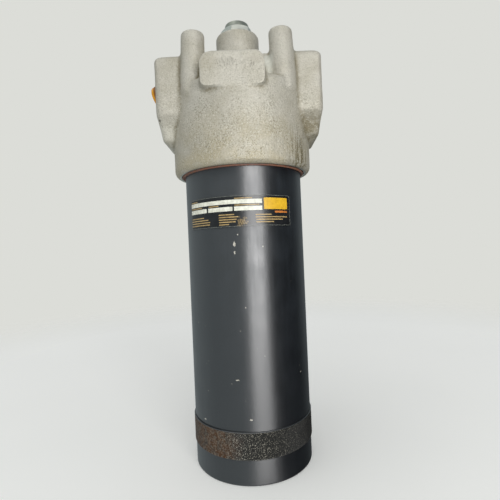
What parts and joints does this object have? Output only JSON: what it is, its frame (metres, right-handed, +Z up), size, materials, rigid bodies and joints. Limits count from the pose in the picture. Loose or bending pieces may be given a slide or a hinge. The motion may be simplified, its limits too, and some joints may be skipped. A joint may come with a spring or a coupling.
{
  "type": "hydraulic pressure filter",
  "caption": "In-line hydraulic pressure filter: cast head with side ports, mounting posts and bypass valve over a long screwed steel bowl with a pleated element.",
  "frame": {"origin": "centre of the bowl's flat lower end, on the bowl's axis", "axes": "+Z up the bowl's axis to the head and its top plug, +X to the open port on the right, -Y to the front with the cast pad and the label"},
  "size_m": [0.144, 0.1184, 0.3763],
  "materials": {
    "cast_head": "matte",
    "bowl_paint": "satin",
    "plug_steel": "satin",
    "spring_steel": "satin",
    "cap_steel": "satin",
    "orange_plastic": "satin",
    "wiper_rubber": "matte",
    "seal_rubber": "satin",
    "backup_plastic": "matte",
    "pleated_media": "matte",
    "label_film": "satin"
  },
  "bodies": {
    "head": {"filter_head": "cast_head", "top_plug": "plug_steel", "top_plug_o_ring": "seal_rubber", "dust_ring": "wiper_rubber", "element_top_cap": "cap_steel", "element_bottom_cap": "cap_steel", "element_core": "cap_steel", "element_media": "pleated_media", "element_o_ring": "seal_rubber", "bypass_body": "plug_steel", "bypass_spring": "spring_steel", "bypass_retainer": "plug_steel", "bypass_snap_ring": "spring_steel"},
    "bypass_poppet": {"bypass_poppet": "plug_steel"},
    "port_plug": {"port_plug": "orange_plastic"},
    "spring_seat": {"spring_plate": "cap_steel", "element_spring": "spring_steel"},
    "bowl": {"filter_bowl": "bowl_paint", "bowl_o_ring": "seal_rubber", "bowl_backup_ring": "backup_plastic", "data_label": "label_film"}
  },
  "joints": [
    {"name": "bowl_lower", "type": "slide", "parent": "head", "child": "spring_seat", "axis": [0, 0, 1], "range_m": [-0.021, 0]},
    {"name": "bowl_turn", "type": "hinge", "parent": "spring_seat", "child": "bowl", "pos_m": [0, 0, 0], "axis": [0, 0, 1], "range_deg": [-2520, 0]},
    {"name": "bypass_open", "type": "slide", "parent": "head", "child": "bypass_poppet", "axis": [0, 0, -1], "range_m": [0, 0.004], "stiffness_N_per_m": 2000, "springref_m": -0.008, "deforming": ["bypass_spring"]},
    {"name": "port_plug_pull", "type": "slide", "parent": "head", "child": "port_plug", "axis": [-1, 0, 0], "range_m": [0, 0.016]}
  ],
  "couplings": [
    {"joint": "bowl_lower", "follows": "bowl_turn", "m_per_rad": 0.00047746}
  ]
}
